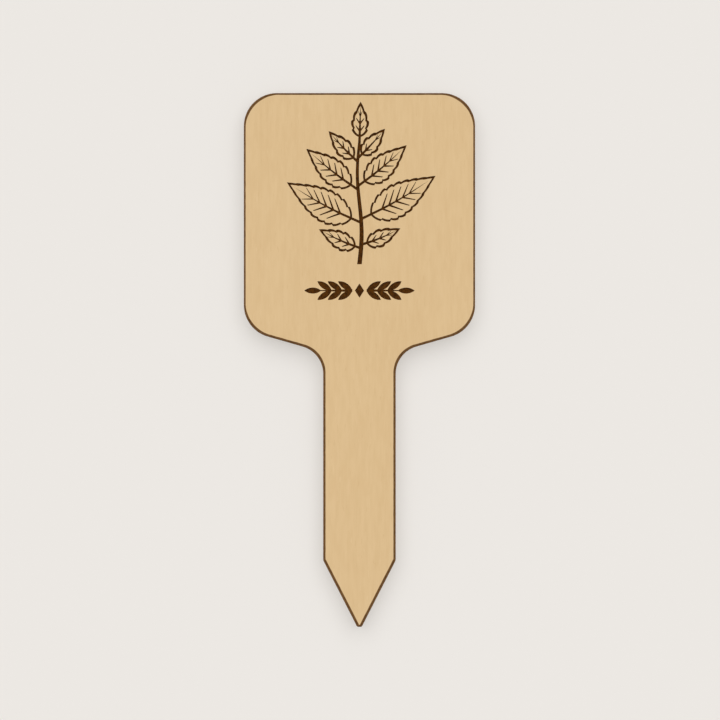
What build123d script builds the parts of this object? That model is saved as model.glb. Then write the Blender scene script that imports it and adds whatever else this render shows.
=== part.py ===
from build123d import *
import math
import os

# Plant label stake of three-ply wood, cut and engraved by laser.
# Millimetres. It stands upright with its engraved face towards -Y and its middle ply on y = 0.
# The origin is on the stem's centre line at the soil line, when the stem is planted.

# The blank's outline
stake_height = 150.0
planted_depth = 50.0
head_width = 65.0
head_side_height = 66.5
head_corner_radius = 9.3
shoulder_drop = 6.4
neck_radius = 8.0
stem_width = 20.4
point_length = 18.7
point_corner_radius = 1.5
tip_width = 1.3
tip_radius = 0.6

# The plies and the glue between them
face_ply = 0.8
core_ply = 1.2
glue_film = 0.1

# The arris that the laser burns off, deeper in front where the beam goes in
front_burn_width = 0.35
front_burn_depth = 0.25
back_burn_width = 0.2
back_burn_depth = 0.15

# The engraving's depth, its lines and its places on the head
engraving_depth = 0.3
line_width = 0.6
midrib_width = 0.75
vein_width = 0.75
vein_end_width = 0.35
sprig_side_margin = 11.0
sprig_top_margin = 2.4
band_side_margin = 17.0
band_height = 5.6
band_gap = 4.6
band_bottom_margin = 8.2

# The herb sprig
stalk_base_width = 1.3
stalk_end_width = 0.75
stalk_sway = 0.6
stalk_steps = 6
stalk_height_share = 0.75
leaf_width_share = 0.37
petiole_share = 0.12
blade_fullness_share = 0.72
curl_share = 0.14
tooth_height = 0.55
tooth_pitch = 2.7
fewest_teeth = 3
vein_pitch = 4.0
fewest_veins = 2
midrib_share = 0.9
first_vein_share = 0.17
last_vein_share = 0.58
vein_slant_share = 0.14
vein_reach_share = 0.82
# The arc of a tooth: how far along its pitch, and how much of its height
tooth_shares = [(0.0, 0.0), (0.4, 0.8), (0.8, 1.0)]
# Each leaf: how far up the stalk it grows, its lean from upright as a share of a right angle,
# to the right if positive, and its length as a share of the sprig's half width
leaf_shares = [
    (0.13, -0.80, 0.60),
    (0.16, 0.82, 0.55),
    (0.34, -0.75, 1.10),
    (0.37, 0.73, 1.12),
    (0.61, -0.63, 0.86),
    (0.64, 0.61, 0.83),
    (0.84, -0.53, 0.55),
    (0.87, 0.52, 0.52),
    (1.00, 0.02, 0.53),
]

# The leaf band below it
lozenge_width = 2.6
lozenge_height = 4.0
lozenge_gap = 0.7
rule_width = 0.8
rule_end_width = 0.3
band_leaf_length = 4.8
band_leaf_width = 1.7
band_leaf_lean = 33.0
band_leaf_pairs = 3

top = stake_height - planted_depth
tip = -planted_depth
front_face = core_ply / 2 + glue_film + face_ply
front_bond = core_ply / 2 + glue_film
core_front = core_ply / 2
back_bond = -core_front - glue_film
sprig_top = top - sprig_top_margin
band_middle = top - head_side_height + band_bottom_margin + band_height / 2
sprig_bottom = band_middle + band_height / 2 + band_gap
sprig_height = sprig_top - sprig_bottom
sprig_half_width = head_width / 2 - sprig_side_margin
band_half_width = head_width / 2 - band_side_margin


def stake_outline():
    """The blank's outline: head, shoulders, stem and point."""
    right_side = [
        (head_width / 2, top, head_corner_radius),
        (head_width / 2, top - head_side_height, head_corner_radius),
        (stem_width / 2, top - head_side_height - shoulder_drop, neck_radius),
        (stem_width / 2, tip + point_length, point_corner_radius),
        (tip_width / 2, tip, tip_radius),
    ]
    left_side = [(-x, z, radius) for x, z, radius in reversed(right_side)]
    corners = right_side + left_side
    with BuildSketch() as outline:
        with BuildLine():
            FilletPolyline(*[(x, z) for x, z, _ in corners], radius=[r for _, _, r in corners], close=True)
        make_face()
    return outline.sketch


def stalk_point(height_share, aside=0):
    """A point of the sprig's stalk, which sways to and fro on its way up."""
    sway = stalk_sway * math.sin(2 * math.pi * height_share)
    return Vector(sway + aside, sprig_bottom + height_share * stalk_height_share * sprig_height)


def blade_half_width(length, share):
    """Half the width of a leaf of this length, at a share of the way up its blade."""
    return leaf_width_share * length / 2 * math.sin(math.pi * share**blade_fullness_share)


def blade_teeth(length, inset):
    """The teeth on one side of a blade drawn in by an inset, and its tip, as places (along, aside)."""
    start = petiole_share * length + inset
    reach = length - 2 * inset - start
    narrowing = 1 - 2 * inset / (leaf_width_share * length)
    count = max(round(length / tooth_pitch), fewest_teeth)
    teeth = []
    for tooth in range(count):
        places = []
        for step_share, rise_share in tooth_shares:
            share = (tooth + step_share) / count
            rise = rise_share * tooth_height * (1 - share**2)
            places.append((start + share * reach, narrowing * (blade_half_width(length, share) + rise)))
        teeth.append(places)
    return teeth, (start + reach, 0)


def ribbed_side(length):
    """One side of a leaf's stalk and midrib, out and back along each vein, as (along, aside)."""
    petiole = petiole_share * length
    blade = length - petiole
    veins = max(round(blade / vein_pitch), fewest_veins)
    side = [(0, midrib_width / 2)]
    for vein in range(veins):
        share = first_vein_share + (last_vein_share - first_vein_share) * vein / (veins - 1)
        end_share = share + vein_slant_share
        root = petiole + share * blade
        end = petiole + end_share * blade
        rib = midrib_width / 2 * (1 - share)
        reach = vein_reach_share * (blade_half_width(length, end_share) - line_width)
        side += [(root, rib), (end, reach), (end + vein_end_width, reach), (root + vein_width, rib)]
    return side + [(midrib_share * length, 0)]


def line_leaf(height_share, lean_share, length_share):
    """One leaf drawn in line: its toothed edge, midrib and veins."""
    foot = stalk_point(height_share)
    length = length_share * sprig_half_width
    curl = curl_share * lean_share * length

    def placed(along, aside):
        """A place on the leaf, whose axis leans over and curls up at the end."""
        point = Vector(along, aside + curl * (along / length) ** 2)
        return foot + point.rotate(Axis.Z, 90 - 90 * lean_share)

    def toothed_edge(inset):
        """The edge of the blade drawn in by an inset, tooth by tooth on both sides."""
        teeth, blade_tip = blade_teeth(length, inset)
        for side in (1, -1):
            arcs = [[placed(along, side * aside) for along, aside in tooth] for tooth in teeth]
            ends = [start for start, _, _ in arcs[1:]] + [placed(*blade_tip)]
            for (start, middle, crest), end in zip(arcs, ends):
                ThreePointArc(start, middle, crest)
                Line(crest, end)

    ribs = ribbed_side(length)
    other_ribs = [(along, -aside) for along, aside in reversed(ribs) if aside > 0]
    with BuildSketch() as drawing:
        with BuildLine():
            toothed_edge(0)
        make_face()
        with BuildLine():
            toothed_edge(line_width)
        make_face(mode=Mode.SUBTRACT)
        with BuildLine():
            Polyline(*[placed(*place) for place in ribs + other_ribs], close=True)
        make_face()
    return drawing.sketch


def sprig_stalk():
    """The sprig's stalk, which narrows on its way up."""
    heights = [step / stalk_steps for step in range(stalk_steps + 1)]
    widths = [stalk_base_width + (stalk_end_width - stalk_base_width) * height for height in heights]
    left = [stalk_point(height, -width / 2) for height, width in zip(heights, widths)]
    right = [stalk_point(height, width / 2) for height, width in zip(heights, widths)]
    with BuildSketch() as drawing:
        with BuildLine():
            Spline(*left)
            Line(left[-1], right[-1])
            Spline(*reversed(right))
            Line(right[0], left[0])
        make_face()
    return drawing.sketch


def band_leaf(along, heading):
    """One solid leaf of the band, between two arcs, from its foot on the rule."""
    foot = Vector(along, band_middle)
    end = foot + Vector(band_leaf_length, 0).rotate(Axis.Z, heading)
    bulge = Vector(0, band_leaf_width / 2).rotate(Axis.Z, heading)
    middle = (foot + end) / 2
    with BuildSketch() as drawing:
        with BuildLine():
            ThreePointArc(foot, middle + bulge, end)
            ThreePointArc(end, middle - bulge, foot)
        make_face()
    return drawing.sketch


def leaf_band():
    """The band: a lozenge in the middle, and on each side a rule with pairs of leaves."""
    rule_start = lozenge_width / 2 + lozenge_gap
    last_foot = band_half_width - band_leaf_length
    rule_end = last_foot + rule_end_width
    with BuildSketch() as drawing:
        with Locations((0, band_middle)):
            Polygon(
                (lozenge_width / 2, 0),
                (0, lozenge_height / 2),
                (-lozenge_width / 2, 0),
                (0, -lozenge_height / 2),
            )
            Polygon(
                (rule_start, rule_width / 2),
                (rule_start, -rule_width / 2),
                (rule_end, -rule_end_width / 2),
                (rule_end, rule_end_width / 2),
                align=None,
            )
        add(band_leaf(last_foot, 0))
        for pair in range(band_leaf_pairs):
            foot = rule_start + (last_foot - rule_start) * pair / band_leaf_pairs
            add(band_leaf(foot, band_leaf_lean))
            add(band_leaf(foot, -band_leaf_lean))
        mirror(about=Plane.YZ)
    return drawing.sketch


os.makedirs("parts", exist_ok=True)

# Front veneer, with its burnt arris and the engraving
with BuildPart() as front_veneer:
    with BuildSketch(Plane.XZ.offset(front_face)):
        add(stake_outline())
    extrude(amount=-face_ply)
    front_rim = front_veneer.faces().sort_by(Axis.Y)[0]
    chamfer(front_rim.edges(), length=front_burn_width, length2=front_burn_depth, reference=front_rim)
    with BuildSketch(Plane.XZ.offset(front_face)):
        add([line_leaf(*shares) for shares in leaf_shares])
        add(sprig_stalk())
        add(leaf_band())
    extrude(amount=-engraving_depth, mode=Mode.SUBTRACT)
front_veneer.part.label = "front_veneer"
export_step(front_veneer.part, "parts/front_veneer.step")

# Glue between the front veneer and the core
with BuildPart() as front_glue_line:
    with BuildSketch(Plane.XZ.offset(front_bond)):
        add(stake_outline())
    extrude(amount=-glue_film)
front_glue_line.part.label = "front_glue_line"
export_step(front_glue_line.part, "parts/front_glue_line.step")

# Core veneer, with its grain across the stake
with BuildPart() as core_veneer:
    with BuildSketch(Plane.XZ.offset(core_front)):
        add(stake_outline())
    extrude(amount=-core_ply)
core_veneer.part.label = "core_veneer"
export_step(core_veneer.part, "parts/core_veneer.step")

# Glue between the core and the back veneer
with BuildPart() as back_glue_line:
    with BuildSketch(Plane.XZ.offset(-core_front)):
        add(stake_outline())
    extrude(amount=-glue_film)
back_glue_line.part.label = "back_glue_line"
export_step(back_glue_line.part, "parts/back_glue_line.step")

# Back veneer, with its lighter burnt arris
with BuildPart() as back_veneer:
    with BuildSketch(Plane.XZ.offset(back_bond)):
        add(stake_outline())
    extrude(amount=-face_ply)
    back_rim = back_veneer.faces().sort_by(Axis.Y)[-1]
    chamfer(back_rim.edges(), length=back_burn_width, length2=back_burn_depth, reference=back_rim)
back_veneer.part.label = "back_veneer"
export_step(back_veneer.part, "parts/back_veneer.step")
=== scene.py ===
import math
from typing import NamedTuple

import bpy
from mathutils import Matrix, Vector, noise
from mathutils.geometry import delaunay_2d_cdt, tessellate_polygon


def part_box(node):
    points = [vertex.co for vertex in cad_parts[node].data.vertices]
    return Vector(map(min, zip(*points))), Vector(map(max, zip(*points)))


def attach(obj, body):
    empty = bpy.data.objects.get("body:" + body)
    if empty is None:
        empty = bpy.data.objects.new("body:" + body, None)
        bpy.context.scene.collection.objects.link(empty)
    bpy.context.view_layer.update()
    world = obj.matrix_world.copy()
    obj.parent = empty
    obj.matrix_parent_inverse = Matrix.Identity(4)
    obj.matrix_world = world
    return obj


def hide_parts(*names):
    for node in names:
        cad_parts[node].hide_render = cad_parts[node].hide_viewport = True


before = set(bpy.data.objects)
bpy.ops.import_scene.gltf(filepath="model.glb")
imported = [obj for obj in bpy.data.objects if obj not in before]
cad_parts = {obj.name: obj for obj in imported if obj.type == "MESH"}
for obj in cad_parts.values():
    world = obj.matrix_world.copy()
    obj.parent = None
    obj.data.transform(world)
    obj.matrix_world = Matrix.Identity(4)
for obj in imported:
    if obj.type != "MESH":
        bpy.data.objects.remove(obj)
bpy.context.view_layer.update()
bpy.context.scene.view_settings.view_transform = "Standard"

# Plant label stake of three-ply wood, cut and engraved by laser. It stands upright with its engraved
# face towards -Y. Sizes here are in millimetres, and what is made from them is in metres.
MM = 0.001

# The lowest and highest corners of the plies and of the glue between them, as the frame has them
LAYER_BOXES = {name: [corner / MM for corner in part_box(name)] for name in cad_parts}
CORE_LOW, CORE_HIGH = LAYER_BOXES["core_veneer"]
TIP = CORE_LOW.z
TOP = CORE_HIGH.z
HEAD_WIDTH = CORE_HIGH.x - CORE_LOW.x

# The blank's outline
HEAD_SIDE_HEIGHT = 66.5
HEAD_CORNER_RADIUS = 9.3
SHOULDER_DROP = 6.4
NECK_RADIUS = 8.0
STEM_WIDTH = 20.4
POINT_LENGTH = 18.7
POINT_CORNER_RADIUS = 1.5
TIP_WIDTH = 1.3
TIP_RADIUS = 0.6

# How finely the outline is drawn, and its tightest radius where it is drawn in
EDGE_STEP = 0.35
FEWEST_ARC_STEPS = 4
SHARPEST_RADIUS = 0.02

# The cut edge: its glue lines lie a little deeper, and the beam leaves a ripple through the plies
GLUE_INSET = 0.03
RIPPLE_DEPTH = 0.03
RIPPLE_PITCH = 0.7
RIPPLE_REACH = 4.0

# The burnt arrises
FRONT_BURN_WIDTH = 0.35
FRONT_BURN_DEPTH = 0.25
BACK_BURN_WIDTH = 0.2
BACK_BURN_DEPTH = 0.15
ARRIS_STEPS = 4

# How far in from the edge the face is burnt, and how burnt it is there, from 0 to 1
FRONT_SCORCH = [(0.56, 0.0), (0.49, 1.0)]
BACK_SCORCH = [(0.95, 0.0), (0.55, 0.25), (0.4, 0.9)]

# In front the burn spreads further in on slanting edges, and by a share of that along the stem
FRONT_SPREAD = 0.28
STEM_SPREAD_SHARE = 0.5
SPREAD_UNEVENNESS = 0.15
SPREAD_PITCH = 1.6

# The engraving
ENGRAVING_DEPTH = 0.3
DEPTH_UNEVENNESS = 0.15
DEPTH_PITCH = 0.7
LINE_WIDTH = 0.6
MIDRIB_WIDTH = 0.75
VEIN_WIDTH = 0.75
VEIN_END_WIDTH = 0.35
SPRIG_SIDE_MARGIN = 11.0
SPRIG_TOP_MARGIN = 2.4
BAND_SIDE_MARGIN = 17.0
BAND_HEIGHT = 5.6
BAND_GAP = 4.6
BAND_BOTTOM_MARGIN = 8.2

# A groove's sides lean in by this, or by this share of a side's length where that is less
GROOVE_LEAN = 0.05
LEAN_SHARE = 0.3

# How the face is triangulated: no triangle lies outside the outlines, and points this close are one
INSIDE_ONLY = 1
MERGE_DISTANCE = 0.0001

# The herb sprig
STALK_BASE_WIDTH = 1.3
STALK_END_WIDTH = 0.75
STALK_SWAY = 0.6
STALK_STEPS = 40
STALK_HEIGHT_SHARE = 0.75
LEAF_WIDTH_SHARE = 0.37
PETIOLE_SHARE = 0.12
BLADE_FULLNESS_SHARE = 0.72
CURL_SHARE = 0.14
TOOTH_HEIGHT = 0.55
TOOTH_PITCH = 2.7
FEWEST_TEETH = 3
VEIN_PITCH = 4.0
FEWEST_VEINS = 2
MIDRIB_SHARE = 0.9
FIRST_VEIN_SHARE = 0.17
LAST_VEIN_SHARE = 0.58
VEIN_SLANT_SHARE = 0.14
VEIN_REACH_SHARE = 0.82
TOOTH_STEPS = 6
# The arc of a tooth: how far along its pitch, and how much of its height
TOOTH_SHARES = [(0.0, 0.0), (0.4, 0.8), (0.8, 1.0)]
# Each leaf: how far up the stalk it grows, its lean from upright as a share of a right angle,
# to the right if positive, and its length as a share of the sprig's half width
LEAF_SHARES = [
    (0.13, -0.80, 0.60),
    (0.16, 0.82, 0.55),
    (0.34, -0.75, 1.10),
    (0.37, 0.73, 1.12),
    (0.61, -0.63, 0.86),
    (0.64, 0.61, 0.83),
    (0.84, -0.53, 0.55),
    (0.87, 0.52, 0.52),
    (1.00, 0.02, 0.53),
]

# The leaf band below it
LOZENGE_WIDTH = 2.6
LOZENGE_HEIGHT = 4.0
LOZENGE_GAP = 0.7
RULE_WIDTH = 0.8
RULE_END_WIDTH = 0.3
BAND_LEAF_LENGTH = 4.8
BAND_LEAF_WIDTH = 1.7
BAND_LEAF_LEAN = 33.0
BAND_LEAF_PAIRS = 3
BAND_LEAF_STEPS = 10

BAND_MIDDLE = TOP - HEAD_SIDE_HEIGHT + BAND_BOTTOM_MARGIN + BAND_HEIGHT / 2
SPRIG_BOTTOM = BAND_MIDDLE + BAND_HEIGHT / 2 + BAND_GAP
SPRIG_HEIGHT = TOP - SPRIG_TOP_MARGIN - SPRIG_BOTTOM
SPRIG_HALF_WIDTH = HEAD_WIDTH / 2 - SPRIG_SIDE_MARGIN
BAND_HALF_WIDTH = HEAD_WIDTH / 2 - BAND_SIDE_MARGIN


# Outline

def turned(vector, degrees):
    """A flat vector turned anticlockwise."""
    angle = math.radians(degrees)
    return Vector((
        vector[0] * math.cos(angle) - vector[1] * math.sin(angle),
        vector[0] * math.sin(angle) + vector[1] * math.cos(angle),
    ))


def stake_outline(inset):
    """The blank's outline drawn in by an inset, anticlockwise from the front, with its outward normals.

    Each inset gives as many points as any other, so that one ring of them joins up with the next.
    """
    right_side = [
        (TIP_WIDTH / 2, TIP, TIP_RADIUS),
        (STEM_WIDTH / 2, TIP + POINT_LENGTH, POINT_CORNER_RADIUS),
        (STEM_WIDTH / 2, TOP - HEAD_SIDE_HEIGHT - SHOULDER_DROP, NECK_RADIUS),
        (HEAD_WIDTH / 2, TOP - HEAD_SIDE_HEIGHT, HEAD_CORNER_RADIUS),
        (HEAD_WIDTH / 2, TOP, HEAD_CORNER_RADIUS),
    ]
    corners = right_side + [(-x, z, radius) for x, z, radius in reversed(right_side)]
    places = [Vector((x, z)) for x, z, _ in corners]
    arcs = []
    for index, (_, _, radius) in enumerate(corners):
        before = (places[index] - places[index - 1]).normalized()
        after = (places[(index + 1) % len(places)] - places[index]).normalized()
        turn = math.degrees(math.atan2(before.cross(after), before.dot(after)))
        side = math.copysign(1, turn)
        out_before = turned(before, -90)
        out_after = turned(after, -90)
        corner = places[index] - (out_before + out_after) * inset / (1 + out_before.dot(out_after))
        drawn_radius = max(radius - inset * side, SHARPEST_RADIUS)
        tangent = drawn_radius * math.tan(math.radians(abs(turn)) / 2)
        centre = corner - before * tangent - out_before * drawn_radius * side
        steps = max(math.ceil(math.radians(abs(turn)) * radius / EDGE_STEP), FEWEST_ARC_STEPS)
        normals = [turned(out_before, turn * step / steps) for step in range(steps + 1)]
        arcs.append([(centre + normal * drawn_radius * side, normal) for normal in normals])
    outline = []
    for index, arc in enumerate(arcs):
        following = (index + 1) % len(arcs)
        steps = max(round((places[following] - places[index]).length / EDGE_STEP), 1)
        start, normal = arc[-1]
        end = arcs[following][0][0]
        outline += arc
        outline += [(start.lerp(end, step / steps), normal) for step in range(1, steps)]
    return outline


def arc_through(start, middle, end, steps):
    """Points along the arc through three points."""
    to_middle = middle - start
    to_end = end - start
    divisor = 2 * to_middle.cross(to_end)
    centre = start + Vector((
        to_end.y * to_middle.length_squared - to_middle.y * to_end.length_squared,
        to_middle.x * to_end.length_squared - to_end.x * to_middle.length_squared,
    )) / divisor
    spoke = start - centre
    last_spoke = end - centre
    turn = math.degrees(math.atan2(spoke.cross(last_spoke), spoke.dot(last_spoke)))
    return [centre + turned(spoke, turn * step / steps) for step in range(steps + 1)]


# Engraving: flat outlines of everything that the laser burns into the face

def stalk_point(height_share, aside=0):
    """A point of the sprig's stalk, which sways to and fro on its way up."""
    sway = STALK_SWAY * math.sin(2 * math.pi * height_share)
    return Vector((sway + aside, SPRIG_BOTTOM + height_share * STALK_HEIGHT_SHARE * SPRIG_HEIGHT))


def blade_half_width(length, share):
    """Half the width of a leaf of this length, at a share of the way up its blade."""
    return LEAF_WIDTH_SHARE * length / 2 * math.sin(math.pi * share**BLADE_FULLNESS_SHARE)


def blade_teeth(length, inset):
    """The teeth on one side of a blade drawn in by an inset, and its tip, as places (along, aside)."""
    start = PETIOLE_SHARE * length + inset
    reach = length - 2 * inset - start
    narrowing = 1 - 2 * inset / (LEAF_WIDTH_SHARE * length)
    count = max(round(length / TOOTH_PITCH), FEWEST_TEETH)
    teeth = []
    for tooth in range(count):
        places = []
        for step_share, rise_share in TOOTH_SHARES:
            share = (tooth + step_share) / count
            rise = rise_share * TOOTH_HEIGHT * (1 - share**2)
            places.append((start + share * reach, narrowing * (blade_half_width(length, share) + rise)))
        teeth.append(places)
    return teeth, (start + reach, 0)


def ribbed_side(length):
    """One side of a leaf's stalk and midrib, out and back along each vein, as (along, aside)."""
    petiole = PETIOLE_SHARE * length
    blade = length - petiole
    veins = max(round(blade / VEIN_PITCH), FEWEST_VEINS)
    side = [(0, MIDRIB_WIDTH / 2)]
    for vein in range(veins):
        share = FIRST_VEIN_SHARE + (LAST_VEIN_SHARE - FIRST_VEIN_SHARE) * vein / (veins - 1)
        end_share = share + VEIN_SLANT_SHARE
        root = petiole + share * blade
        end = petiole + end_share * blade
        rib = MIDRIB_WIDTH / 2 * (1 - share)
        reach = VEIN_REACH_SHARE * (blade_half_width(length, end_share) - LINE_WIDTH)
        side += [(root, rib), (end, reach), (end + VEIN_END_WIDTH, reach), (root + VEIN_WIDTH, rib)]
    return side + [(MIDRIB_SHARE * length, 0)]


def leaf_outlines(height_share, lean_share, length_share):
    """A leaf's outer edge, the inner edge of its drawn line, and its ribs, as closed outlines."""
    foot = stalk_point(height_share)
    length = length_share * SPRIG_HALF_WIDTH
    curl = CURL_SHARE * lean_share * length

    def placed(along, aside):
        """A place on the leaf, whose axis leans over and curls up at the end."""
        return foot + turned((along, aside + curl * (along / length) ** 2), 90 - 90 * lean_share)

    def toothed_edge(inset):
        """The edge of the blade drawn in by an inset, up one side and down the other."""
        teeth, tip = blade_teeth(length, inset)
        sides = []
        for side in (1, -1):
            edge = []
            for tooth in teeth:
                start, middle, crest = (placed(along, side * aside) for along, aside in tooth)
                edge += arc_through(start, middle, crest, TOOTH_STEPS)
            sides.append(edge)
        return sides[0] + [placed(*tip)] + sides[1][:0:-1]

    ribs = ribbed_side(length)
    other_ribs = [(along, -aside) for along, aside in reversed(ribs) if aside > 0]
    return toothed_edge(0), toothed_edge(LINE_WIDTH), [placed(*place) for place in ribs + other_ribs]


def stalk_outline():
    """The sprig's stalk, which narrows on its way up."""
    left = []
    right = []
    for step in range(STALK_STEPS + 1):
        height = step / STALK_STEPS
        width = STALK_BASE_WIDTH + (STALK_END_WIDTH - STALK_BASE_WIDTH) * height
        left.append(stalk_point(height, -width / 2))
        right.append(stalk_point(height, width / 2))
    return left + right[::-1]


def band_leaf_outline(along, heading, side):
    """One solid leaf of the band, between two arcs, from its foot on the rule."""
    foot = Vector((along, BAND_MIDDLE))
    end = foot + turned((BAND_LEAF_LENGTH, 0), heading)
    bulge = turned((0, BAND_LEAF_WIDTH / 2), heading)
    middle = (foot + end) / 2
    upper = arc_through(foot, middle + bulge, end, BAND_LEAF_STEPS)
    lower = arc_through(end, middle - bulge, foot, BAND_LEAF_STEPS)
    return [Vector((side * point.x, point.y)) for point in upper[:-1] + lower[:-1]]


def band_outlines():
    """The band: a lozenge in the middle, and on each side a rule with pairs of leaves."""
    lozenge = [
        Vector((LOZENGE_WIDTH / 2, BAND_MIDDLE)),
        Vector((0, BAND_MIDDLE + LOZENGE_HEIGHT / 2)),
        Vector((-LOZENGE_WIDTH / 2, BAND_MIDDLE)),
        Vector((0, BAND_MIDDLE - LOZENGE_HEIGHT / 2)),
    ]
    outlines = [lozenge]
    rule_start = LOZENGE_WIDTH / 2 + LOZENGE_GAP
    last_foot = BAND_HALF_WIDTH - BAND_LEAF_LENGTH
    rule_end = last_foot + RULE_END_WIDTH
    for side in (1, -1):
        outlines.append([
            Vector((side * rule_start, BAND_MIDDLE + RULE_WIDTH / 2)),
            Vector((side * rule_start, BAND_MIDDLE - RULE_WIDTH / 2)),
            Vector((side * rule_end, BAND_MIDDLE - RULE_END_WIDTH / 2)),
            Vector((side * rule_end, BAND_MIDDLE + RULE_END_WIDTH / 2)),
        ])
        outlines.append(band_leaf_outline(last_foot, 0, side))
        for pair in range(BAND_LEAF_PAIRS):
            foot = rule_start + (last_foot - rule_start) * pair / BAND_LEAF_PAIRS
            outlines.append(band_leaf_outline(foot, BAND_LEAF_LEAN, side))
            outlines.append(band_leaf_outline(foot, -BAND_LEAF_LEAN, side))
    return outlines


# Meshes

class Shell:
    """A closed mesh in the making: points in millimetres, with marks for its material.

    Scorch is how burnt a point of the face is, and cut is how far down the cut edge it is, both from
    0 to 1. Engraved is 1 on the faces of the engraving.
    """

    def __init__(self):
        self.points = []
        self.scorch = []
        self.cut = []
        self.faces = []
        self.engraved = []
        self.smooth = []

    def add_point(self, x, y, z, scorch=0.0, cut=0.0):
        """Add a point with its marks, and give its number."""
        self.points.append((x, y, z))
        self.scorch.append(scorch)
        self.cut.append(cut)
        return len(self.points) - 1

    def add_face(self, corners, engraved=0.0, smooth=False):
        """Add a face by the numbers of its corners."""
        self.faces.append(corners)
        self.engraved.append(engraved)
        self.smooth.append(smooth)

    def add_ring(self, inset, y, scorch=1.0, cut=1.0, spread=0.0):
        """The outline drawn in by an inset, and by more where the burn spreads.

        On the cut it has the faint ripple that the beam leaves there.
        """
        ring = []
        for (point, normal), (further, _) in zip(stake_outline(inset), stake_outline(inset + spread)):
            place = point.lerp(further, spread_share(point, normal))
            place -= normal * beam_ripple(point, y) * cut
            ring.append(self.add_point(place.x, y, place.y, scorch, cut))
        return ring

    def join_rings(self, rings):
        """Smooth strips of faces from each ring to the next, facing outwards from front to back."""
        for front, back in zip(rings, rings[1:]):
            for index in range(len(front)):
                after = (index + 1) % len(front)
                self.add_face((front[index], back[index], back[after], front[after]), smooth=True)

    def cap_ring(self, ring, facing_back):
        """A flat face inside a ring, towards the back or the front."""
        flat = [Vector((self.points[i][0], self.points[i][2], 0)) for i in ring]
        for triangle in tessellate_polygon([flat]):
            corners = [ring[i] for i in triangle]
            a, b, c = (self.points[i] for i in corners)
            doubled_area = (b[0] - a[0]) * (c[2] - a[2]) - (b[2] - a[2]) * (c[0] - a[0])
            if (doubled_area > 0) == facing_back:
                corners.reverse()
            self.add_face(corners)

    def make(self, name, material):
        """The finished object, which rides on the stake and replaces the node of this name."""
        mesh = bpy.data.meshes.new(name)
        mesh.from_pydata([Vector(point) * MM for point in self.points], [], self.faces)
        mesh.attributes.new("scorch", "FLOAT", "POINT").data.foreach_set("value", self.scorch)
        mesh.attributes.new("cut", "FLOAT", "POINT").data.foreach_set("value", self.cut)
        mesh.attributes.new("engraved", "FLOAT", "FACE").data.foreach_set("value", self.engraved)
        mesh.polygons.foreach_set("use_smooth", self.smooth)
        mesh.materials.append(material)
        mesh.update()
        piece = bpy.data.objects.new(name + "_skin", mesh)
        bpy.context.scene.collection.objects.link(piece)
        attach(piece, "root")
        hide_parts(name)
        return piece


def beam_ripple(point, y):
    """How far the cut edge dips at a place, in a ripple that runs through the plies."""
    place = Vector((point.x / RIPPLE_PITCH, y / RIPPLE_REACH, point.y / RIPPLE_PITCH))
    return RIPPLE_DEPTH * (noise.noise(place) + 1) / 2


def spread_share(point, normal):
    """How much of its spread the burn has at a place: all on slants, least on the head's sides and top."""
    slant = abs(2 * normal.x * normal.y)
    below = min(max((TOP - HEAD_SIDE_HEIGHT - point.y) / SHOULDER_DROP, 0), 1)
    unevenness = SPREAD_UNEVENNESS * noise.noise(Vector((point.x, point.y, 0)) / SPREAD_PITCH)
    return 1 - (1 - slant) * (1 - STEM_SPREAD_SHARE * below) + unevenness


def rounded_arris(width, depth):
    """Insets and depths along a rounded arris, from the face to the edge."""
    places = []
    for step in range(ARRIS_STEPS + 1):
        angle = math.pi / 2 * step / ARRIS_STEPS
        places.append((width * (1 - math.sin(angle)), depth * (1 - math.cos(angle))))
    return places


def cut_face(edge):
    """The flat face inside an edge, as triangles that stop at every outline of the engraving.

    It gives the points, each triangle with whether it is engraved, and for each point the numbers of
    the points that it was made from, where the edge's own come first.
    """
    outlines = [edge]
    # A leaf's drawn line lies between its outer and inner outlines, and all else is solid
    lined = []
    solid = set()
    for shares in LEAF_SHARES:
        outer, inner, ribs = leaf_outlines(*shares)
        lined.append((len(outlines), len(outlines) + 1))
        solid.add(len(outlines) + 2)
        outlines += [outer, inner, ribs]
    for outline in [stalk_outline(), *band_outlines()]:
        solid.add(len(outlines))
        outlines.append(outline)
    flat = []
    loops = []
    for outline in outlines:
        doubled_area = sum(a.cross(b) for a, b in zip(outline, outline[1:] + outline[:1]))
        loops.append(list(range(len(flat), len(flat) + len(outline))))
        flat += outline if doubled_area > 0 else outline[::-1]
    cut = delaunay_2d_cdt(flat, [], loops, INSIDE_ONLY, MERGE_DISTANCE)
    points, _, triangles, origins, _, owners = cut
    marked = []
    for triangle, owner in zip(triangles, owners):
        drawn = any(outer in owner and inner not in owner for outer, inner in lined)
        marked.append((triangle, drawn or not solid.isdisjoint(owner)))
    return points, marked, origins


def groove_walls(marked):
    """The sides that engraved triangles share with plain ones, in the engraved triangles' order."""
    sides = {}
    for triangle, sunk in marked:
        for a, b in zip(triangle, triangle[1:] + triangle[:1]):
            sides.setdefault((min(a, b), max(a, b)), []).append((sunk, a, b))
    walls = []
    for uses in sides.values():
        if len(uses) == 2 and uses[0][0] != uses[1][0]:
            _, a, b = uses[0] if uses[0][0] else uses[1]
            walls.append((a, b))
    return walls


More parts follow.
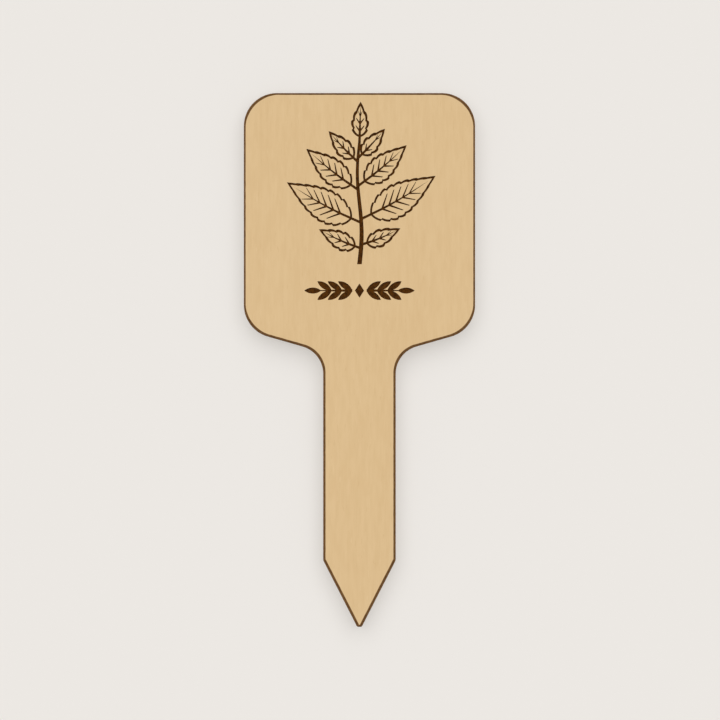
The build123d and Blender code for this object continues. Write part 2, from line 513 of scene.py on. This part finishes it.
def groove_floor(points, corners, walls):
    """Where the engraving's floor has its corners, as (x, depth, z).

    They are drawn in from its walls, and lie at an uneven depth.
    """
    inwards = {index: Vector((0, 0)) for index in corners}
    leans = {index: GROOVE_LEAN for index in corners}
    for a, b in walls:
        side = points[b] - points[a]
        for index in (a, b):
            inwards[index] += turned(side.normalized(), 90)
            leans[index] = min(leans[index], side.length * LEAN_SHARE)
    places = {}
    for index in corners:
        place = points[index] + inwards[index].normalized() * leans[index]
        unevenness = DEPTH_UNEVENNESS * noise.noise(Vector((place.x, place.y, 0)) / DEPTH_PITCH)
        places[index] = (place.x, ENGRAVING_DEPTH * (1 + unevenness), place.y)
    return places


def engraved_face(shell, ring, y):
    """Fill the front face inside a ring, with the engraving sunk into it."""
    edge = [Vector((shell.points[i][0], shell.points[i][2])) for i in ring]
    points, marked, origins = cut_face(edge)
    walls = groove_walls(marked)
    on_ring = {}
    for index, origin in enumerate(origins):
        for given in origin:
            if given < len(ring):
                on_ring[index] = ring[given]

    surface = dict.fromkeys(index for triangle, sunk in marked for index in triangle if not sunk)
    for index in surface:
        if index in on_ring:
            surface[index] = on_ring[index]
        else:
            surface[index] = shell.add_point(points[index].x, y, points[index].y)
    floor = dict.fromkeys(index for triangle, sunk in marked for index in triangle if sunk)
    for index, (x, depth, z) in groove_floor(points, floor, walls).items():
        floor[index] = shell.add_point(x, y + depth, z)

    for triangle, sunk in marked:
        level = floor if sunk else surface
        shell.add_face([level[index] for index in triangle], engraved=float(sunk))
    for a, b in walls:
        shell.add_face((surface[b], floor[b], floor[a], surface[a]), engraved=1.0)


def front_veneer(material):
    """The engraved front veneer, burnt along its arris."""
    low, high = LAYER_BOXES["front_veneer"]
    shell = Shell()
    rings = []
    for inset, scorch in FRONT_SCORCH:
        rings.append(shell.add_ring(inset, low.y, scorch, cut=0, spread=FRONT_SPREAD))
    engraved_face(shell, rings[0], low.y)
    for inset, depth in rounded_arris(FRONT_BURN_WIDTH, FRONT_BURN_DEPTH):
        rings.append(shell.add_ring(inset, low.y + depth, cut=(depth / FRONT_BURN_DEPTH) ** 2))
    rings.append(shell.add_ring(0, (low.y + high.y) / 2))
    rings.append(shell.add_ring(0, high.y))
    shell.join_rings(rings)
    shell.cap_ring(rings[-1], True)
    return shell.make("front_veneer", material)


def back_veneer(material):
    """The plain back veneer, burnt a little less along its arris."""
    low, high = LAYER_BOXES["back_veneer"]
    shell = Shell()
    rings = [shell.add_ring(inset, high.y, scorch, cut=0) for inset, scorch in BACK_SCORCH]
    for inset, depth in rounded_arris(BACK_BURN_WIDTH, BACK_BURN_DEPTH):
        rings.append(shell.add_ring(inset, high.y - depth, cut=(depth / BACK_BURN_DEPTH) ** 2))
    rings.append(shell.add_ring(0, (low.y + high.y) / 2))
    rings.append(shell.add_ring(0, low.y))
    shell.join_rings(rings[::-1])
    shell.cap_ring(rings[0], True)
    shell.cap_ring(rings[-1], False)
    return shell.make("back_veneer", material)


def plain_layer(name, inset, material):
    """A layer between the veneers, which shows only at the cut edge."""
    low, high = LAYER_BOXES[name]
    shell = Shell()
    rings = [shell.add_ring(inset, y) for y in (low.y, (low.y + high.y) / 2, high.y)]
    shell.cap_ring(rings[0], False)
    shell.join_rings(rings)
    shell.cap_ring(rings[-1], True)
    return shell.make(name, material)


# Materials

FULL_LEVEL = 255
SRGB_OFFSET = 0.055
SRGB_POWER = 2.4


def from_srgb(*levels):
    """A linear colour from levels of 0 to 255, by the power part of the sRGB curve."""
    linear = [((level / FULL_LEVEL + SRGB_OFFSET) / (1 + SRGB_OFFSET)) ** SRGB_POWER for level in levels]
    return (*linear, 1.0)


class Figure(NamedTuple):
    """A pattern of noise, by which a second colour shows or a surface gets its relief.

    Its size is in millimetres along X, Y and Z, and its place is a shift counted in sizes. Where the
    noise is at or under its low level the second colour shows the least, and at or over its high level
    the most.
    """

    size: tuple
    detail: float = 2.0
    roughness: float = 0.5
    place: tuple = (0.0, 0.0, 0.0)
    low: float = 0.3
    high: float = 0.7
    least: float = 0.0
    most: float = 1.0


# A Mix node's sockets when it mixes colours: its factor and both colours, and their mixture
MIX_INPUTS = (0, 6, 7)
MIX_RESULT = 2


class Nodes:
    """Short ways to add and link the nodes of a material or of the world."""

    def __init__(self, tree):
        self.tree = tree

    def put(self, socket, value):
        """Link a socket to another node's socket, or set its value."""
        if isinstance(value, bpy.types.NodeSocket):
            self.tree.links.new(value, socket)
        else:
            socket.default_value = value

    def add(self, kind, *values, **named_values):
        """A new node, with values or links for its first inputs and for the named ones."""
        node = self.tree.nodes.new(kind)
        for socket, value in zip(node.inputs, values):
            self.put(socket, value)
        for name, value in named_values.items():
            self.put(node.inputs[name], value)
        return node

    def math(self, operation, *values):
        """The result of a Math node."""
        node = self.add("ShaderNodeMath", *values)
        node.operation = operation
        return node.outputs[0]

    def mix(self, factor, first, second):
        """Two colours mixed by a factor."""
        node = self.add("ShaderNodeMix")
        node.data_type = "RGBA"
        for number, value in zip(MIX_INPUTS, (factor, first, second)):
            self.put(node.inputs[number], value)
        return node.outputs[MIX_RESULT]

    def noise(self, figure):
        """A figure's noise, from 0 to 1."""
        spot = self.add("ShaderNodeTexCoord").outputs["Object"]
        scale = tuple(1 / (size * MM) for size in figure.size)
        spot = self.add("ShaderNodeMapping", Vector=spot, Scale=scale, Location=figure.place).outputs[0]
        node = self.add("ShaderNodeTexNoise", Vector=spot, Scale=1.0, Detail=figure.detail,
                        Roughness=figure.roughness)
        return node.outputs[0]

    def strength(self, figure):
        """How strongly a figure shows."""
        return self.ramp(self.noise(figure), figure.low, figure.high, figure.least, figure.most)

    def ramp(self, value, low, high, low_out, high_out):
        """A value from low to high turned into one from low_out to high_out, smoothed and clamped."""
        node = self.add("ShaderNodeMapRange", value, low, high, low_out, high_out)
        node.interpolation_type = "SMOOTHSTEP"
        return node.outputs[0]

    def attribute(self, name):
        """The mesh's mark of this name."""
        node = self.add("ShaderNodeAttribute")
        node.attribute_name = name
        return node.outputs["Fac"]

    def visible_ray(self):
        """1 for the rays by which the camera, gloss and glass see a thing, and 0 for any other."""
        path = self.add("ShaderNodeLightPath").outputs
        seen = self.math("MAXIMUM", path["Is Camera Ray"], path["Is Glossy Ray"])
        return self.math("MAXIMUM", seen, path["Is Transmission Ray"])


def new_material(name):
    """A new material, and its nodes with the Principled shader that is among them from the start."""
    material = bpy.data.materials.new(name)
    material.use_nodes = True
    return material, Nodes(material.node_tree)


# Colours of the wood, of what the beam burns on the face, and of the cut edge
VENEER = from_srgb(220, 189, 143)
VENEER_DARK = from_srgb(205, 170, 122)
VENEER_LIGHT = from_srgb(229, 201, 158)
ENGRAVED = from_srgb(82, 46, 3)
ENGRAVED_DARK = from_srgb(52, 27, 0)
RIM_BURN = from_srgb(108, 77, 44)
RIM_CHAR = from_srgb(86, 58, 31)
VENEER_EDGE_CHAR = from_srgb(72, 44, 20)
VENEER_EDGE_BROWN = from_srgb(144, 98, 52)
CORE_EDGE_CHAR = from_srgb(56, 36, 22)
CORE_EDGE_BROWN = from_srgb(114, 78, 47)
GLUE_CHAR = from_srgb(24, 16, 11)
GLUE_BROWN = from_srgb(40, 27, 18)

# The veneer's figure
STREAKS = Figure((5.0, 40.0, 70.0), most=0.1)
GRAIN = Figure((1.4, 6.0, 6.0), detail=1.0, place=(17.0, 0.0, 5.0), most=0.2)
FIBRES = Figure((0.35, 3.0, 6.0), detail=3.0, roughness=0.6, low=0.35, high=0.75, most=0.18)
DARK_FLECKS = Figure((0.45, 2.0, 2.6), detail=1.0, place=(7.0, 0.0, 3.0), low=0.66, high=0.78, most=0.3)
PALE_FLECKS = Figure((0.5, 2.0, 3.4), detail=1.0, place=(31.0, 0.0, 11.0), low=0.68, high=0.8, most=0.3)
VENEER_FIGURES = [
    (STREAKS, VENEER_DARK),
    (GRAIN, VENEER_DARK),
    (FIBRES, VENEER_LIGHT),
    (DARK_FLECKS, VENEER_DARK),
    (PALE_FLECKS, VENEER_LIGHT),
]

# What the beam leaves: mottled char on the face and in the engraving, streaks across the cut edge
RIM_MOTTLE = Figure((0.6, 0.6, 0.6), low=0.35, high=0.75)
ENGRAVED_MOTTLE = Figure((0.5, 0.5, 0.5), low=0.35)
BEAM_STREAKS = Figure((0.45, 12.0, 0.45), high=0.75, least=0.15)
BEAM_PATCHES = Figure((5.0, 12.0, 5.0), detail=1.0, high=0.65, least=0.4)
CHAR_GRAIN = Figure((0.3, 0.3, 0.3))

# Reliefs: their low and high levels, the roughness at each, and the bumps' strength and height
RELIEF_LEVELS = (0.2, 0.8)
VENEER_ROUGHNESS = (0.62, 0.74)
VENEER_BUMPS = (0.25, 0.02)
CHAR_ROUGHNESS = (0.7, 0.85)
CHAR_BUMPS = (0.3, 0.03)
SPECULAR_LEVEL = 0.05


def cut_edge_colour(nodes, dark, light):
    """The burnt colour of a cut edge, streaked through the plies by the beam."""
    amount = nodes.math("MULTIPLY", nodes.strength(BEAM_STREAKS), nodes.strength(BEAM_PATCHES))
    return nodes.mix(amount, dark, light)


def finished(material, nodes, colour, relief, roughness, bumps):
    """The material with its colour, and with the roughness and bumps of a relief."""
    height = nodes.noise(relief)
    strength, distance = bumps
    bump = nodes.add("ShaderNodeBump", Strength=strength, Distance=distance * MM, Height=height)
    shader = nodes.tree.nodes["Principled BSDF"].inputs
    nodes.put(shader["Base Color"], colour)
    nodes.put(shader["Roughness"], nodes.ramp(height, *RELIEF_LEVELS, *roughness))
    nodes.put(shader["Normal"], bump.outputs[0])
    nodes.put(shader["Specular IOR Level"], SPECULAR_LEVEL)
    return material


def veneer_material():
    """Pale veneer with upright grain, burnt brown where the beam has been."""
    material, nodes = new_material("face_veneer")
    wood = VENEER
    for figure, colour in VENEER_FIGURES:
        wood = nodes.mix(nodes.strength(figure), wood, colour)
    rim = nodes.mix(nodes.strength(RIM_MOTTLE), RIM_BURN, RIM_CHAR)
    cut = cut_edge_colour(nodes, VENEER_EDGE_CHAR, VENEER_EDGE_BROWN)
    drawn = nodes.mix(nodes.strength(ENGRAVED_MOTTLE), ENGRAVED, ENGRAVED_DARK)
    colour = nodes.mix(nodes.attribute("scorch"), wood, rim)
    colour = nodes.mix(nodes.attribute("cut"), colour, cut)
    colour = nodes.mix(nodes.attribute("engraved"), colour, drawn)
    return finished(material, nodes, colour, FIBRES, VENEER_ROUGHNESS, VENEER_BUMPS)


def layer_material(name, dark, light):
    """A layer that shows only as a burnt edge."""
    material, nodes = new_material(name)
    colour = cut_edge_colour(nodes, dark, light)
    return finished(material, nodes, colour, CHAR_GRAIN, CHAR_ROUGHNESS, CHAR_BUMPS)


face_wood = veneer_material()
core_wood = layer_material("core_veneer", CORE_EDGE_CHAR, CORE_EDGE_BROWN)
glue = layer_material("glue", GLUE_CHAR, GLUE_BROWN)

front_veneer(face_wood)
plain_layer("front_glue_line", GLUE_INSET, glue)
plain_layer("core_veneer", 0.0, core_wood)
plain_layer("back_glue_line", GLUE_INSET, glue)
back_veneer(face_wood)


# Stage: the stake hovers in front of a pale wall, behind which a floor lies level with the stake's tip

BACKGROUND = from_srgb(236, 232, 227)
STAGE_SIZE = 4000.0
WALL_GAP = 3.2
REACH = STAGE_SIZE / 2 * MM
WALL_Y = (LAYER_BOXES["back_veneer"][1].y + WALL_GAP) * MM
FLOOR_Z = TIP * MM

# How much of the backdrop's colour is lit, and the light that falls on it as a share of full light
WALL_SHADED_SHARE = 0.46
WALL_LIGHT = 1.0
FLOOR_SHADED_SHARE = 0.4
FLOOR_LIGHT = 0.58

# Lamps, with angles in degrees: the key's elevation, and how wide each lamp looks. The dome and the key
# together give the upright face full light, and the others fill in.
DOME_SHARE = 0.3
KEY_SHARE = 1 - DOME_SHARE
KEY_ELEVATION = 20.0
KEY_ANGLE = 80.0
SIDE_SHARE = 0.5
BACK_SHARE = 0.65
FILL_ANGLE = 2.0


def stage_material(name, shaded_share, light):
    """The plain backdrop: seen only from its front, and letting all light through to the stake.

    A share of its colour is lit, by this much light, and darkens in the stake's shadow, and the rest
    glows by itself. Light from behind doesn't reach the wall by way of the stake's back.
    """
    material, nodes = new_material(name)
    nodes.tree.nodes.clear()
    path = nodes.add("ShaderNodeLightPath").outputs
    bounced = nodes.math("GREATER_THAN", path["Diffuse Depth"], 0)
    blocked = nodes.math("MULTIPLY", path["Is Shadow Ray"], bounced)
    solid = nodes.math("MAXIMUM", nodes.visible_ray(), blocked)
    front = nodes.math("SUBTRACT", 1, nodes.add("ShaderNodeNewGeometry").outputs["Backfacing"])
    lit_colour = (*[level * shaded_share for level in BACKGROUND[:3]], 1.0)
    glow_strength = 1 - shaded_share * light
    glow = nodes.add("ShaderNodeEmission", Color=BACKGROUND, Strength=glow_strength)
    paint = nodes.add("ShaderNodeBsdfDiffuse", Color=lit_colour)
    surface = nodes.add("ShaderNodeAddShader", glow.outputs[0], paint.outputs[0])
    clear = nodes.add("ShaderNodeBsdfTransparent")
    solid_front = nodes.math("MULTIPLY", solid, front)
    mix = nodes.add("ShaderNodeMixShader", solid_front, clear.outputs[0], surface.outputs[0])
    nodes.add("ShaderNodeOutputMaterial", mix.outputs[0])
    return material


def stage_plane(name, first_edge, last_edge, material):
    """A plane as wide as the stage, between two level edges given as (y, z) in metres."""
    corners = [(-REACH, *first_edge), (REACH, *first_edge), (REACH, *last_edge), (-REACH, *last_edge)]
    mesh = bpy.data.meshes.new(name)
    mesh.from_pydata(corners, [], [(0, 1, 2, 3)])
    mesh.materials.append(material)
    plane = bpy.data.objects.new(name, mesh)
    bpy.context.scene.collection.objects.link(plane)


def sun(name, direction, share, angle):
    """A lamp that shines along a direction and gives a facing surface this share of full light."""
    lamp = bpy.data.lights.new(name, "SUN")
    lamp.energy = share * math.pi
    lamp.angle = math.radians(angle)
    holder = bpy.data.objects.new(name, lamp)
    holder.rotation_euler = Vector(direction).to_track_quat("-Z", "Y").to_euler()
    bpy.context.scene.collection.objects.link(holder)


wall_paint = stage_material("wall", WALL_SHADED_SHARE, WALL_LIGHT)
floor_paint = stage_material("floor", FLOOR_SHADED_SHARE, FLOOR_LIGHT)
stage_plane("wall", (WALL_Y, -REACH), (WALL_Y, REACH), wall_paint)
stage_plane("floor", (WALL_Y, FLOOR_Z), (REACH, FLOOR_Z), floor_paint)

# The dome lights the stake evenly, and looks like the background
world = bpy.data.worlds.new("studio")
bpy.context.scene.world = world
world.use_nodes = True
world.node_tree.nodes.clear()
sky = Nodes(world.node_tree)
dome = (DOME_SHARE, DOME_SHARE, DOME_SHARE, 1.0)
sky_light = sky.add("ShaderNodeBackground", Color=sky.mix(sky.visible_ray(), dome, BACKGROUND))
sky.add("ShaderNodeOutputWorld", sky_light.outputs[0])

# The key lamp shines down and back, and is as much stronger as its slant takes from the upright face.
# The others fill the sides and the back.
key_rise = math.tan(math.radians(KEY_ELEVATION))
sun("key", (0, 1, -key_rise), KEY_SHARE / math.cos(math.radians(KEY_ELEVATION)), KEY_ANGLE)
sun("from_left", (1, 0, 0), SIDE_SHARE, FILL_ANGLE)
sun("from_right", (-1, 0, 0), SIDE_SHARE, FILL_ANGLE)
sun("from_behind", (0, -1, 0), BACK_SHARE, FILL_ANGLE)


# Camera: square on, with its view's width, height above the tip and shift aside at the engraved face

LENS = 200.0
SENSOR = 36.0
VIEW_WIDTH = 202.25
VIEW_HEIGHT = 75.0
VIEW_ASIDE = 0.15

camera_data = bpy.data.cameras.new("camera")
camera_data.lens = LENS
camera_data.sensor_width = SENSOR
camera = bpy.data.objects.new("camera", camera_data)
bpy.context.scene.collection.objects.link(camera)
front_y = LAYER_BOXES["front_veneer"][0].y
distance = VIEW_WIDTH * LENS / SENSOR
camera.location = Vector((VIEW_ASIDE, front_y - distance, TIP + VIEW_HEIGHT)) * MM
camera.rotation_euler = (math.pi / 2, 0, 0)
bpy.context.scene.camera = camera
